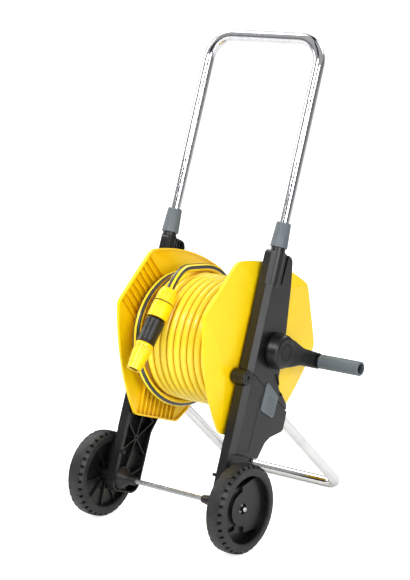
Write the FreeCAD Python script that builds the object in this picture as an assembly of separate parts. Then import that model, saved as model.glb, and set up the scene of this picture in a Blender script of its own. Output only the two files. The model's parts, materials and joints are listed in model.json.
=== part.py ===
"""Garden hose reel cart: a two-wheeled frame that folds at a pair of hinges, with a hose drum.

Frame of the model: the origin is on the ground, midway between the wheels and straight below
the axle.  +X points to the crank side, -Y to the front, +Y to the rear stand, +Z up.
Lengths are in millimetres.

The legs lean back.  They are drawn upright in a leg frame and then tilted about the axle:
in the leg frame X is across the cart, Y is the depth ("v", towards the rear) and Z runs up
along the leg ("u"), with its origin on the axle line.
"""
import FreeCAD, Part
import math
import os
from FreeCAD import Vector

os.makedirs("parts", exist_ok=True)

# ---------------------------------------------------------------- driving dimensions
WHEEL_RADIUS = 80.0
WHEEL_WIDTH = 36.0
WHEEL_INNER_X = 142.5          # inner face of each wheel
RIM_RADIUS = 64.5              # lip that holds the tyre
LEG_LEAN = 22.2                # degrees back from upright
LEG_INNER_X = 111.0
LEG_OUTER_X = 136.5
LEG_FRONT_V = -24.0
LEG_TOP_U = 455.0
LEG_WALL = 3.0

TUBE_RADIUS = 9.8              # handle and stand tube
TUBE_WALL = 1.2
HANDLE_X = 124.3
HANDLE_V = -4.6
HANDLE_TOP_U = 841.0
HANDLE_BEND = 48.0
HANDLE_LOW_U = 396.0           # lower end with the handle pulled out
HANDLE_TRAVEL = 150.0
SLIDE_GAP = 0.08               # radial clearance of the handle in its guides

PIVOT_U = 224.2                # hinge between the lower and the upper frame
PIVOT_V = -27.0
PIVOT_RADIUS = 14.0
PIVOT_PIN_RADIUS = 5.0
HINGE_GAP = 0.5
SEAM_GAP = 1.0                 # slit between the lower and the upper frame
RUN_GAP = 0.05                 # radial clearance of a running fit

FOOT_Y = 359.7                 # cross-bar of the stand, lying on the ground
STAND_BEND = 28.0
STAND_X = 124.3

DRUM_U = 283.4                 # drum axis in the leg frame
DRUM_V = 35.6
CORE_RADIUS = 90.0
CORE_WALL = 3.0
FLANGE_IN_X = 94.0
FLANGE_RIM_X = 100.6           # outside of the flange at its corners
FLANGE_OUT_X = 107.0
FLANGE_WALL = 2.5
FLANGE_HUB_RADIUS = 76.0       # flat middle of the flange's outside
SHORT_SIDE = 164.0             # three short straight sides, distance from the axis
LONG_SIDE = 152.0              # three long sides, slightly arched
LONG_SIDE_RADIUS = 371.0
FLANGE_CORNER = 20.0
LONG_SIDE_SLOPE = 0.162        # the long sides fall away more steeply, up to a crease
LONG_EDGE_X = 98.0             # outside of the flange at the middle of a long side
RIB_PITCH = 12.5
LOBE_ANGLE = 9.0               # degrees, direction of the first short side in the Y-Z plane

HOSE_DIAMETER = 15.3
HOSE_LAYERS = 2
WINDING_HALF_WIDTH = 92.0
WINDING_GAP = 0.2

AXLE_RADIUS = 4.5
AXLE_HALF_LENGTH = 172.0
SLEEVE_TIP_X = 78.0

SHAFT_RADIUS = 12.0            # crank shaft and inlet stem in the upper legs
CRANK_BASE_X = 138.0
CRANK_FACE_X = 161.5
CRANK_HUB_RADIUS = 33.0
CRANK_LENGTH = 110.0
CRANK_ANGLE = -21.3            # degrees, arm direction in the Y-Z plane
CRANK_END_RADIUS = 14.5
CRANK_ARM_DEPTH = 16.0
CAP_RADIUS = 13.6
CAP_GROOVE = 1.0
GRIP_RADIUS = 13.2
GRIP_END_X = 250.0

COLLAR_LOW_U = 461.0
COLLAR_TOP_U = 506.0
COLLAR_LOW_RADIUS = 15.8
COLLAR_TOP_RADIUS = 13.0

LATCH_PROUD = 1.8              # how far the latch rocker stands out of the cover
LATCH_DEPTH = 4.5              # room behind the cover's face for its lower end
LATCH_GAP = 0.7

X_AXIS = Vector(1, 0, 0)
Z_AXIS = Vector(0, 0, 1)
ORIGIN = Vector(0, 0, 0)

lean = math.radians(LEG_LEAN)
written = []


# ---------------------------------------------------------------- helpers
def save(name, shape):
    """Write one sub-part, which has to be one valid solid."""
    solids = shape.Solids
    if len(solids) != 1 or not solids[0].isValid():
        print("CHECK", name, "solids", len(solids), "valid", [s.isValid() for s in solids])
    solid = solids[0] if len(solids) == 1 else shape
    solid.exportStep(os.path.join("parts", name + ".step"))
    written.append((name, sum(s.Volume for s in solids)))


def mirrored(shape):
    return shape.mirror(ORIGIN, X_AXIS)


def save_pair(name, right_shape):
    """The part for the crank side, and its mirror image for the other side."""
    save(name + "_right", right_shape)
    save(name + "_left", mirrored(right_shape))


def from_leg(shape):
    """Leg frame to the cart's frame."""
    turned = shape.copy()
    turned.rotate(ORIGIN, X_AXIS, -LEG_LEAN)
    turned.translate(Vector(0, 0, WHEEL_RADIUS))
    return turned


def leg_point(u, v, x=0.0):
    return Vector(x, u * math.sin(lean) + v * math.cos(lean),
                  WHEEL_RADIUS + u * math.cos(lean) - v * math.sin(lean))


def box(x0, x1, y0, y1, z0, z1):
    return Part.makeBox(x1 - x0, y1 - y0, z1 - z0, Vector(x0, y0, z0))


def rod_x(y, z, radius, x0, x1):
    return Part.makeCylinder(radius, x1 - x0, Vector(x0, y, z), X_AXIS)


def rod_z(x, y, radius, z0, z1):
    return Part.makeCylinder(radius, z1 - z0, Vector(x, y, z0), Z_AXIS)


def cone_z(x, y, r0, r1, z0, z1):
    return Part.makeCone(r0, r1, z1 - z0, Vector(x, y, z0), Z_AXIS)


def rounded_wire(corners, x):
    """Closed outline in the plane X = x; each corner is (z, y, radius)."""
    count = len(corners)
    points = [Vector(x, y, z) for z, y, radius in corners]
    starts, ends, mids = [], [], []
    for i in range(count):
        here = points[i]
        to_last = (points[i - 1] - here).normalize()
        to_next = (points[(i + 1) % count] - here).normalize()
        radius = corners[i][2]
        half = to_last.getAngle(to_next) / 2.0
        if radius <= 0:
            starts.append(here)
            ends.append(here)
            mids.append(None)
            continue
        reach = radius / math.tan(half)
        middle = (to_last + to_next).normalize()
        starts.append(here + to_last * reach)
        ends.append(here + to_next * reach)
        mids.append(here + middle * (radius / math.sin(half) - radius))
    edges = []
    for i in range(count):
        if mids[i] is not None:
            edges.append(Part.Arc(starts[i], mids[i], ends[i]).toShape())
        after = starts[(i + 1) % count]
        if (after - ends[i]).Length > 1e-6:
            edges.append(Part.LineSegment(ends[i], after).toShape())
    return Part.Wire(edges)


def plate_x(wire, length):
    return Part.Face(wire).extrude(Vector(length, 0, 0))


def outline_plate(corners, x0, x1):
    return plate_x(rounded_wire(corners, x0), x1 - x0)


def inset_plate(corners, inset, x0, x1):
    wire = rounded_wire(corners, x0).makeOffset2D(-inset)
    return plate_x(wire, x1 - x0)


def rib(z0, y0, z1, y1, x0, x1, thickness=2.0):
    """A straight upright rib between two points of a Y-Z plane."""
    start = Vector(x0, y0, z0)
    along = Vector(0, y1 - y0, z1 - z0)
    side = Vector(0, -along.z, along.y).normalize() * (thickness / 2.0)
    points = [start - side, start + side, start + along + side, start + along - side]
    face = Part.Face(Part.makePolygon(points + [points[0]]))
    return face.extrude(Vector(x1 - x0, 0, 0))


def fillet(shape, radius, chosen):
    """Round the edges that the function picks."""
    edges = [edge for edge in shape.Edges if chosen(edge)]
    return shape.makeFillet(radius, edges) if edges else shape


def edge_at(edge, **where):
    """True where the edge's middle has the coordinates given, such as x=3."""
    middle = edge.CenterOfMass
    return all(abs(getattr(middle, axis) - value) < 0.01 for axis, value in where.items())


def tube_path(points, bends):
    """Wire of straight runs joined by arcs of the radii given at the inner points."""
    edges = []
    start = points[0]
    for i in range(1, len(points) - 1):
        here = points[i]
        back = (points[i - 1] - here).normalize()
        ahead = (points[i + 1] - here).normalize()
        half = back.getAngle(ahead) / 2.0
        radius = bends[i - 1]
        reach = radius / math.tan(half)
        middle = (back + ahead).normalize()
        arc_start = here + back * reach
        arc_end = here + ahead * reach
        arc_mid = here + middle * (radius / math.sin(half) - radius)
        edges.append(Part.LineSegment(start, arc_start).toShape())
        edges.append(Part.Arc(arc_start, arc_mid, arc_end).toShape())
        start = arc_end
    edges.append(Part.LineSegment(start, points[-1]).toShape())
    return Part.Wire(edges)


def swept_tube(path, radius, inner=0.0):
    first = path.OrderedEdges[0]
    start = first.valueAt(first.FirstParameter)
    ahead = first.tangentAt(first.FirstParameter)
    rings = []
    for size in (radius, inner):
        if size > 0:
            circle = Part.Wire(Part.makeCircle(size, start, ahead))
            rings.append(path.makePipeShell([circle], True, False))
    return rings[0].cut(rings[1]) if inner > 0 else rings[0]


# ---------------------------------------------------------------- seam between the frames
foot = Vector(0, FOOT_Y, TUBE_RADIUS)
pivot = leg_point(PIVOT_U, PIVOT_V)
stand_run = foot - pivot
stand_length = stand_run.Length
stand_dir = Vector(stand_run).normalize()
# stand direction in the leg frame: components along v and u
stand_v = stand_dir.y * math.cos(lean) - stand_dir.z * math.sin(lean)
stand_u = stand_dir.y * math.sin(lean) + stand_dir.z * math.cos(lean)
SEAM_OFFSET = TUBE_RADIUS + LEG_WALL


def seam_point(distance, lift=0.0):
    """(u, v) on the seam: along the stand tube from the pivot, lifted off its centre line."""
    offset = SEAM_OFFSET + lift
    return (PIVOT_U + stand_u * distance + stand_v * offset,
            PIVOT_V + stand_v * distance - stand_u * offset)


def seam_at_v(v, lift=0.0):
    offset = SEAM_OFFSET + lift
    distance = (v - PIVOT_V + stand_u * offset) / stand_v
    return seam_point(distance, lift)[0]


WING_V = 113.0                 # rear end of the wing that holds the stand tube
knuckle_start = 7.0


def lower_corners():
    start_u, start_v = seam_point(knuckle_start)
    return [(-26.0, LEG_FRONT_V, 20.0), (-26.0, 54.0, 24.0), (92.0, 54.5, 30.0),
            (120.0, 66.0, 20.0), (131.0, 78.0, 10.0), (147.0, WING_V, 7.0),
            (seam_at_v(WING_V), WING_V, 2.0), (start_u, start_v, 0.0),
            (PIVOT_U - 1.0, LEG_FRONT_V, 0.0)]


def upper_corners():
    start_u, start_v = seam_point(knuckle_start, SEAM_GAP)
    tail_v = WING_V - 2.0
    return [(PIVOT_U + 1.0, LEG_FRONT_V, 0.0), (start_u, start_v, 0.0),
            (seam_at_v(tail_v, SEAM_GAP), tail_v, 2.0), (196.0, 107.0, 12.0),
            (219.0, 76.0, 16.0), (240.0, 65.0, 14.0), (300.0, 62.0, 30.0),
            (403.0, 42.0, 60.0), (LEG_TOP_U - 4, 29.0, 15.0), (LEG_TOP_U, LEG_FRONT_V, 8.0)]


STRIP_X = 8.0                  # chamfer strip down the front outer edge of the leg
STRIP_V = 10.0
TOP_STRIP = 1.4                # the strip is this much wider beside the tube guide
FRONT_WALL = 8.0


def front_strip(u0, u1, wider=1.0):
    """Wedge that is cut from the front outer edge to make the chamfer strip."""
    reach_x = STRIP_X * wider
    reach_v = STRIP_V * wider
    points = [Vector(LEG_OUTER_X - reach_x, LEG_FRONT_V - 0.01, u0),
              Vector(LEG_OUTER_X + 1, LEG_FRONT_V - 0.01, u0),
              Vector(LEG_OUTER_X + 1, LEG_FRONT_V + reach_v + 1.25, u0),
              Vector(LEG_OUTER_X, LEG_FRONT_V + reach_v, u0)]
    return Part.Face(Part.makePolygon(points + [points[0]])).extrude(Vector(0, 0, u1 - u0))


def tray(corners, x_open, x_floor):
    """Hollow inside a leg: the outline drawn in by the wall, with a thicker front wall."""
    hollow = inset_plate(corners, LEG_WALL, x_open, x_floor)
    low = min(c[0] for c in corners) - 5
    high = max(c[0] for c in corners) + 5
    keep = box(x_open - 1, x_floor + 1, LEG_FRONT_V + FRONT_WALL, 200, low, high)
    return hollow.common(keep)


# ---------------------------------------------------------------- lower frame
COVER_SPLIT_X = 128.0          # the lower leg ends here and its outer cover starts
COVER_LOW_U = 88.0


def stand_channel(extra=0.02):
    """Room for the stand tube, in the leg frame."""
    start = Vector(STAND_X, PIVOT_V + stand_v * 16.0, PIVOT_U + stand_u * 16.0)
    direction = Vector(0, stand_v, stand_u)
    return Part.makeCylinder(TUBE_RADIUS + extra, 200, start, direction)


def pivot_clear(x0, x1):
    return rod_x(PIVOT_V, PIVOT_U, PIVOT_RADIUS + HINGE_GAP, x0, x1)


KNUCKLE_X = 122.0              # inner knuckle belongs to the lower leg, outer one to the upper
KNUCKLE_IN_X = FLANGE_OUT_X + 1.5


def lower_leg():
    corners = lower_corners()
    body = outline_plate(corners, LEG_INNER_X, COVER_SPLIT_X)
    body = body.cut(tray(corners, LEG_INNER_X - 1, COVER_SPLIT_X - LEG_WALL))
    ribs_x = (LEG_INNER_X + 2.0, COVER_SPLIT_X - LEG_WALL + 0.5)
    inside = inset_plate(corners, 1.0, *ribs_x)
    ring_u, ring_v = 76.0, 17.0
    lines = [(0, 4, ring_u, ring_v), (ring_u, ring_v, 150, 24),
             (ring_u, ring_v, 110, -24), (ring_u, ring_v, 112, 56),
             (ring_u, ring_v, 45, -24), (ring_u, ring_v, 44, 56),
             (112, 56, 165, -24), (0, 10, 26, 56), (0, 10, -14, 56),
             (0, 0, -26, 22), (0, 0, -20, -20)]
    for z0, y0, z1, y1 in lines:
        body = body.fuse(rib(z0, y0, z1, y1, *ribs_x).common(inside))
    body = body.fuse(rod_x(ring_v, ring_u, 5.0, *ribs_x))
    body = body.cut(rod_x(ring_v, ring_u, 2.6, LEG_INNER_X, ribs_x[1] - 2))
    hub = rod_x(0, 0, 21.0, LEG_INNER_X - 1.0, COVER_SPLIT_X)
    boss = Part.makeCone(9.0, 19.0, 16.0, Vector(LEG_INNER_X - 17, 0, 0), X_AXIS)
    nose = Part.makeCone(7.0, 10.0, LEG_INNER_X - 14 - SLEEVE_TIP_X,
                         Vector(SLEEVE_TIP_X, 0, 0), X_AXIS)
    outer = rod_x(0, 0, 15.0, COVER_SPLIT_X - 1, WHEEL_INNER_X - 1.0)
    body = body.fuse([hub, boss, nose, outer])
    body = body.cut(pivot_clear(KNUCKLE_X - HINGE_GAP, LEG_OUTER_X + 5))
    body = body.fuse(rod_x(PIVOT_V, PIVOT_U, PIVOT_RADIUS, KNUCKLE_IN_X, KNUCKLE_X - HINGE_GAP))
    body = body.cut(rod_x(PIVOT_V, PIVOT_U, PIVOT_PIN_RADIUS, KNUCKLE_IN_X + 2, 200))
    body = body.cut(stand_channel())
    slot = box(COVER_SPLIT_X - 2.0, COVER_SPLIT_X + 1, -17.0, 48.0, COVER_LOW_U - 7, COVER_LOW_U + 3)
    body = body.cut(slot)
    body = body.cut(rod_x(0, 0, AXLE_RADIUS, 0, 200))
    return body.removeSplitter()


def latch_corners(grow=0.0):
    """Rhomboid of the latch rocker: two sides along the leg, two along the stand tube."""
    top_v, end_v, low_v = 31.5, 75.0, 71.5
    top_u = seam_at_v(top_v) + 13.0
    end_u = seam_at_v(end_v) + 8.0
    drop_front = 54.0
    drop_rear = 42.0
    corners = [(top_u, top_v, 5.0), (end_u, end_v, 7.0),
               (end_u - drop_rear, low_v + 1.0, 7.0), (top_u - drop_front, top_v - 2.0, 6.0)]
    if grow == 0.0:
        return corners
    centre_u = sum(c[0] for c in corners) / 4.0
    centre_v = sum(c[1] for c in corners) / 4.0
    grown = []
    for u, v, radius in corners:
        away = math.hypot(u - centre_u, v - centre_v)
        factor = 1.0 + grow * 1.25 / away
        grown.append((centre_u + (u - centre_u) * factor,
                      centre_v + (v - centre_v) * factor, radius + grow))
    return grown


LATCH_BACK_X = STAND_X + TUBE_RADIUS + 0.5
LATCH_FLOOR_X = LATCH_BACK_X - LATCH_DEPTH


def latch_pocket():
    return outline_plate(latch_corners(LATCH_GAP), LATCH_FLOOR_X, LEG_OUTER_X + 5)


def leg_cover():
    """Outer cover of the lower leg, with the wing round the stand tube."""
    corners = lower_corners()
    body = outline_plate(corners, COVER_SPLIT_X, LEG_OUTER_X)
    low_cut = box(COVER_SPLIT_X - 1, LEG_OUTER_X + 1, -60, 90, -40, COVER_LOW_U)
    body = body.cut(low_cut)
    body = fillet(body, 5.0, lambda e: edge_at(e, x=LEG_OUTER_X, z=COVER_LOW_U))
    hollow = tray(corners, COVER_SPLIT_X - 1, LEG_OUTER_X - LEG_WALL)
    hollow = hollow.common(box(0, 200, -30, 60, COVER_LOW_U + 4, 160))
    body = body.cut(hollow)
    body = body.cut(front_strip(COVER_LOW_U - 1, PIVOT_U + 40))
    body = body.cut(pivot_clear(KNUCKLE_X - 5, LEG_OUTER_X + 5))
    body = body.cut(stand_channel())
    body = body.cut(latch_pocket())
    panel = outline_plate([(COVER_LOW_U + 10, -4.0, 3.0), (COVER_LOW_U + 10, 22.0, 3.0),
                           (198.0, 24.0, 3.0), (201.0, -6.0, 3.0)],
                          LEG_OUTER_X - 0.6, LEG_OUTER_X + 1)
    return body.cut(panel).removeSplitter()


def latch_button():
    corners = latch_corners()
    body = outline_plate(corners, LATCH_BACK_X, LEG_OUTER_X + LATCH_PROUD)
    body = fillet(body, 1.0, lambda e: abs(e.CenterOfMass.x - LEG_OUTER_X - LATCH_PROUD) < 0.01)
    for i in range(6):
        u = 168.0 + 6.0 * i
        groove = box(LEG_OUTER_X + LATCH_PROUD - 0.5, LEG_OUTER_X + LATCH_PROUD + 1,
                     44.0, 68.0, u, u + 1.2)
        groove.rotate(Vector(0, 56, u), X_AXIS, -20)
        body = body.cut(groove)
    return body


def stand_tube():
    """Bent tube: two arms from the hinges down to the cross-bar on the ground."""
    arm_start = pivot + stand_dir * 18.0
    right = Vector(STAND_X, arm_start.y, arm_start.z)
    left = Vector(-STAND_X, arm_start.y, arm_start.z)
    corner_right = Vector(STAND_X, FOOT_Y, TUBE_RADIUS)
    corner_left = Vector(-STAND_X, FOOT_Y, TUBE_RADIUS)
    path = tube_path([right, corner_right, corner_left, left], [STAND_BEND, STAND_BEND])
    return swept_tube(path, TUBE_RADIUS, TUBE_RADIUS - TUBE_WALL)


def hinge_pin():
    """Shouldered screw of the frame hinge, with a hexagon recess in its head."""
    pin = rod_x(PIVOT_V, PIVOT_U, PIVOT_PIN_RADIUS, KNUCKLE_IN_X + 2, LEG_OUTER_X - 2.5)
    head = rod_x(PIVOT_V, PIVOT_U, 8.5, LEG_OUTER_X - 2.5, LEG_OUTER_X + 0.5)
    head = fillet(head, 0.8, lambda e: abs(e.CenterOfMass.x - LEG_OUTER_X - 0.5) < 0.01)
    body = pin.fuse(head)
    flats = []
    for i in range(6):
        angle = math.radians(60 * i)
        flats.append(Vector(LEG_OUTER_X - 1.5, PIVOT_V + 4.2 * math.cos(angle),
                            PIVOT_U + 4.2 * math.sin(angle)))
    socket = Part.Face(Part.makePolygon(flats + [flats[0]])).extrude(Vector(5, 0, 0))
    return body.cut(socket).removeSplitter()


def axle():
    rod = rod_x(0, WHEEL_RADIUS, AXLE_RADIUS, -AXLE_HALF_LENGTH, AXLE_HALF_LENGTH)
    return rod.makeChamfer(0.8, [e for e in rod.Edges if e.Curve.TypeId == "Part::GeomCircle"])


def stop_pin():
    """Short peg on the inner side of the lower leg."""
    return rod_x(-20.0, 47.0, 3.2, LEG_INNER_X - 8.0, LEG_INNER_X)


# ---------------------------------------------------------------- wheels
HUB_RADIUS = 14.0
TREAD_BLOCKS = 34
BLOCK_GAP = 5.4
BLOCK_DEPTH = 3.0
SHOULDER_WIDTH = 8.0
MARK_COUNT = 17                # U-shaped marks moulded along each edge of the tread


def ring_x(outer, inner, x0, x1):
    return rod_x(0, 0, outer, x0, x1).cut(rod_x(0, 0, inner, x0 - 1, x1 + 1))


def beyond(y0, z0, y1, z1, x0, x1):
    """Block on the outer side of the line between two points of the wheel's face."""
    start = Vector(x0, y0, z0)
    along = (Vector(x0, y1, z1) - start).normalize()
    away = Vector(0, -along.z, along.y)
    if away.dot(start) < 0:
        away = away * -1
    corners = [start - along * 90, start + along * 180, start + along * 180 + away * 120,
               start - along * 90 + away * 120]
    return Part.Face(Part.makePolygon(corners + [corners[0]])).extrude(Vector(x1 - x0, 0, 0))


TOP_CHORD = (-43.8, 34.0, 49.7, 49.6)       # edges of the raised band of the wheel's face
LOW_CHORD = (58.5, -50.5, -17.5, -41.2)
BAND_DROP = 5.0                             # step down in front of the hub
POCKET_DROP = 10.0
AXLE_WELL_RADIUS = 9.5
RING_WALL_RADIUS = 36.0                     # circle of the ribbed inner side
SPOKES = 10


def wheel():
    """Moulded wheel, drawn round the X axis; its outer side is the +X side."""
    outer_x = WHEEL_INNER_X + WHEEL_WIDTH
    web_x = outer_x - 12.0
    dish = RIM_RADIUS - 4.0
    body = ring_x(RIM_RADIUS, dish, WHEEL_INNER_X + 1, outer_x - 1)
    body = body.fuse(rod_x(0, 0, dish + 1.0, web_x - POCKET_DROP - 3.0, web_x))
    top = beyond(*TOP_CHORD, web_x - POCKET_DROP, outer_x)
    low = beyond(*LOW_CHORD, web_x - POCKET_DROP, outer_x)
    inside = rod_x(0, 0, dish, web_x - POCKET_DROP, outer_x)
    body = body.cut([top.common(inside), low.common(inside)])
    front = rod_x(0, 0, dish, web_x - BAND_DROP, outer_x)
    front = front.cut(rod_x(0, 0, 31.0, 0, 300))
    body = body.cut(front.common(box(0, 300, -100, 0, -100, 100)))
    window = box(web_x - POCKET_DROP, outer_x, -41.0, -19.0, -34.0, -25.0)
    body = body.cut(window.common(inside))
    # hollow behind the raised band, so that the wall stays thin
    back = rod_x(0, 0, dish, WHEEL_INNER_X, web_x - BAND_DROP - 3.0)
    back = back.cut([beyond(*TOP_CHORD, 0, 300), beyond(*LOW_CHORD, 0, 300)])
    shelf = rod_x(0, 0, dish, WHEEL_INNER_X, web_x - POCKET_DROP - 3.0)
    body = body.cut(back.common(rod_x(0, 0, 29.0, 0, 300)).cut(shelf))
    body = body.fuse(rod_x(0, 0, HUB_RADIUS, WHEEL_INNER_X, web_x - 1))
    ring_wall = ring_x(RING_WALL_RADIUS, RING_WALL_RADIUS - 2.0, WHEEL_INNER_X + 12, web_x - POCKET_DROP - 2)
    body = body.fuse(ring_wall)
    for i in range(SPOKES):
        spoke = box(WHEEL_INNER_X + 7, web_x - POCKET_DROP - 2, -1.1, 1.1,
                    HUB_RADIUS - 2, dish + 1.0)
        spoke.rotate(ORIGIN, X_AXIS, 360.0 / SPOKES * (i + 0.5))
        body = body.fuse(spoke)
    body = body.cut(rod_x(0, 0, AXLE_RADIUS + RUN_GAP, 0, 300))
    body = body.cut(rod_x(0, 0, AXLE_WELL_RADIUS, web_x - 6.0, outer_x))
    return body.removeSplitter()


def tyre():
    outer_x = WHEEL_INNER_X + WHEEL_WIDTH
    inner_x = WHEEL_INNER_X
    middle = (outer_x + inner_x) / 2.0
    profile = [(inner_x, RIM_RADIUS - 1.0), (inner_x, WHEEL_RADIUS - 7.0),
               (inner_x + 5.0, WHEEL_RADIUS - 1.2), (middle, WHEEL_RADIUS),
               (outer_x - 5.0, WHEEL_RADIUS - 1.2), (outer_x, WHEEL_RADIUS - 7.0),
               (outer_x, RIM_RADIUS - 1.0)]
    points = [Vector(x, 0, r) for x, r in profile]
    edges = [Part.LineSegment(points[0], points[1]).toShape(),
             Part.LineSegment(points[1], points[2]).toShape(),
             Part.Arc(points[2], points[3], points[4]).toShape(),
             Part.LineSegment(points[4], points[5]).toShape(),
             Part.LineSegment(points[5], points[6]).toShape(),
             Part.LineSegment(points[6], points[0]).toShape()]
    body = Part.Face(Part.Wire(edges)).revolve(ORIGIN, X_AXIS, 360)
    body = body.cut(rod_x(0, 0, RIM_RADIUS, inner_x + 0.98, outer_x - 0.98))
    body = body.cut(rod_x(0, 0, RIM_RADIUS - 1.0, inner_x - 1, outer_x + 1))
    cutters = []
    for i in range(TREAD_BLOCKS):
        for x0, phase in ((inner_x - 1, 0.0), (outer_x - SHOULDER_WIDTH + 1, 0.5)):
            gap = box(x0, x0 + SHOULDER_WIDTH, -BLOCK_GAP / 2, BLOCK_GAP / 2,
                      WHEEL_RADIUS - BLOCK_DEPTH - 3.0, WHEEL_RADIUS + 5)
            gap.rotate(ORIGIN, X_AXIS, 360.0 / TREAD_BLOCKS * (i + phase))
            cutters.append(gap)
    low = WHEEL_RADIUS - 1.3
    for i in range(MARK_COUNT):
        for side in (-1, 1):
            x0 = middle + side * 9.0
            mark = box(x0 - 3.5, x0 + 3.5, -6.5, 6.5, low, low + 9)
            mark = mark.cut(box(x0 - 2.0 - side * 1.5, x0 + 2.0 - side * 1.5, -5.0, 5.0,
                                low - 1, low + 10))
            mark.rotate(ORIGIN, X_AXIS, 360.0 / MARK_COUNT * (i + 0.25 * side))
            cutters.append(mark)
    return body.cut(cutters)


def at_axle(shape):
    moved = shape.copy()
    moved.translate(Vector(0, 0, WHEEL_RADIUS))
    return moved


def retaining_ring():
    outer_x = WHEEL_INNER_X + WHEEL_WIDTH
    recess_x = outer_x - 12.0 - 6.0
    return ring_x(8.0, AXLE_RADIUS, recess_x + 0.3, recess_x + 1.8)


# ---------------------------------------------------------------- upper frame
GUIDE_LOW_U = 396.0
BULGE_RADIUS = TUBE_RADIUS + 4.2
NECK_TOP_U = 480.0
NECK_RADIUS = 12.2
POCKET_U = 236.0


def handle_channel(gap, u0, u1):
    return rod_z(HANDLE_X, HANDLE_V, TUBE_RADIUS + gap, u0, u1)


def upper_leg():
    corners = upper_corners()
    body = outline_plate(corners, LEG_INNER_X, LEG_OUTER_X)
    body = body.cut(tray(corners, LEG_INNER_X - 1, LEG_OUTER_X - LEG_WALL))
    ribs_x = (LEG_INNER_X + 2.0, LEG_OUTER_X - LEG_WALL + 0.5)
    inside = inset_plate(corners, 1.0, *ribs_x)
    lines = [(322, 10, 396, 38), (322, 56, 396, 12), (245, 60, 262, 20), (200, 30, 245, 60),
             (232, 8, 255, 20)]
    for z0, y0, z1, y1 in lines:
        body = body.fuse(rib(z0, y0, z1, y1, *ribs_x).common(inside))
    for v in (9.0, 17.0, 25.0):
        body = body.fuse(rib(GUIDE_LOW_U, v, LEG_TOP_U - 1, v, *ribs_x).common(inside))
    # guide block round the handle tube at the top, half round outside and grooved inside
    guide = box(LEG_INNER_X, LEG_OUTER_X - 1, LEG_FRONT_V + 1, 8.0, GUIDE_LOW_U, LEG_TOP_U)
    body = body.fuse(guide.common(plate_x(rounded_wire(corners, LEG_INNER_X), 30)))
    body = body.cut(front_strip(PIVOT_U - 10, GUIDE_LOW_U - 2))
    body = body.cut(front_strip(GUIDE_LOW_U - 2, LEG_TOP_U + 1, TOP_STRIP))
    body = body.fuse([rod_z(HANDLE_X, HANDLE_V, BULGE_RADIUS, GUIDE_LOW_U, LEG_TOP_U),
                      Part.makeSphere(BULGE_RADIUS, Vector(HANDLE_X, HANDLE_V, GUIDE_LOW_U))])
    slot = [(GUIDE_LOW_U + 2, 8.2, 1.0), (LEG_TOP_U + 20, 8.2, 1.0),
            (LEG_TOP_U + 20, 17.0, 1.0), (GUIDE_LOW_U + 2, 12.4, 2.0)]
    body = body.cut(outline_plate(slot, LEG_OUTER_X - 14.0, LEG_OUTER_X + 5))
    for v in (-12.0, -5.0, 2.0):
        body = body.cut(box(LEG_INNER_X - 5, LEG_INNER_X + 2.4, v, v + 3.0,
                            GUIDE_LOW_U + 12, LEG_TOP_U + 1))
    body = body.cut(handle_channel(SLIDE_GAP, GUIDE_LOW_U - 6, LEG_TOP_U + 1))
    low_end = HANDLE_LOW_U - HANDLE_TRAVEL - 3.0
    body = body.cut(handle_channel(1.0, low_end, GUIDE_LOW_U - 5))
    # bearing for the drum's shaft
    bearing = rod_x(DRUM_V, DRUM_U, SHAFT_RADIUS + 6.0, LEG_INNER_X - 1.5, LEG_OUTER_X)
    ring = rod_x(DRUM_V, DRUM_U, SHAFT_RADIUS + 25.0, LEG_INNER_X, LEG_OUTER_X - LEG_WALL + 0.5)
    ring = ring.cut(rod_x(DRUM_V, DRUM_U, SHAFT_RADIUS + 22.5, 0, 200)).common(inside)
    keep_tube = handle_channel(1.0, low_end, GUIDE_LOW_U)
    body = body.fuse([bearing, ring.cut(keep_tube)])
    body = body.cut(rod_x(DRUM_V, DRUM_U, SHAFT_RADIUS + RUN_GAP, 0, 200))
    # hinge
    body = body.cut(pivot_clear(0, KNUCKLE_X + 0.01))
    body = body.fuse(rod_x(PIVOT_V, PIVOT_U, PIVOT_RADIUS, KNUCKLE_X, LEG_OUTER_X))
    body = body.cut(rod_x(PIVOT_V, PIVOT_U, PIVOT_PIN_RADIUS + RUN_GAP, 0, 200))
    body = body.cut(rod_x(PIVOT_V, PIVOT_U, 9.2, LEG_OUTER_X - 3.0, 200))
    body = fillet(body, 1.2, lambda e: edge_at(e, x=LEG_OUTER_X) and e.Curve.TypeId
                  == "Part::GeomCircle" and abs(e.Curve.Radius - PIVOT_RADIUS) < 0.01)
    # latch notch and the finger recess beside it
    body = body.cut(latch_pocket())
    finger = outline_plate([(212.0, 50.0, 3.0), (243.0, 44.0, 5.0), (243.0, 57.0, 4.0),
                            (206.0, 90.0, 3.0)], LEG_OUTER_X - 2.4, LEG_OUTER_X + 1)
    return body.cut(finger).removeSplitter()


def leg_neck():
    """Slit collet on top of the leg that the clamp collar closes on the tube."""
    body = rod_z(HANDLE_X, HANDLE_V, NECK_RADIUS + 0.6, LEG_TOP_U, COLLAR_LOW_U - 0.8)
    body = body.fuse(rod_z(HANDLE_X, HANDLE_V, NECK_RADIUS, LEG_TOP_U, NECK_TOP_U))
    body = body.cut(handle_channel(SLIDE_GAP, LEG_TOP_U - 1, NECK_TOP_U + 1))
    slit = box(HANDLE_X - 30, HANDLE_X + 30, HANDLE_V - 0.8, HANDLE_V + 0.8,
               COLLAR_LOW_U, NECK_TOP_U + 1)
    body = body.cut(slit)
    slit.rotate(Vector(HANDLE_X, HANDLE_V, 0), Z_AXIS, 90)
    return body.cut(slit).removeSplitter()


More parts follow.
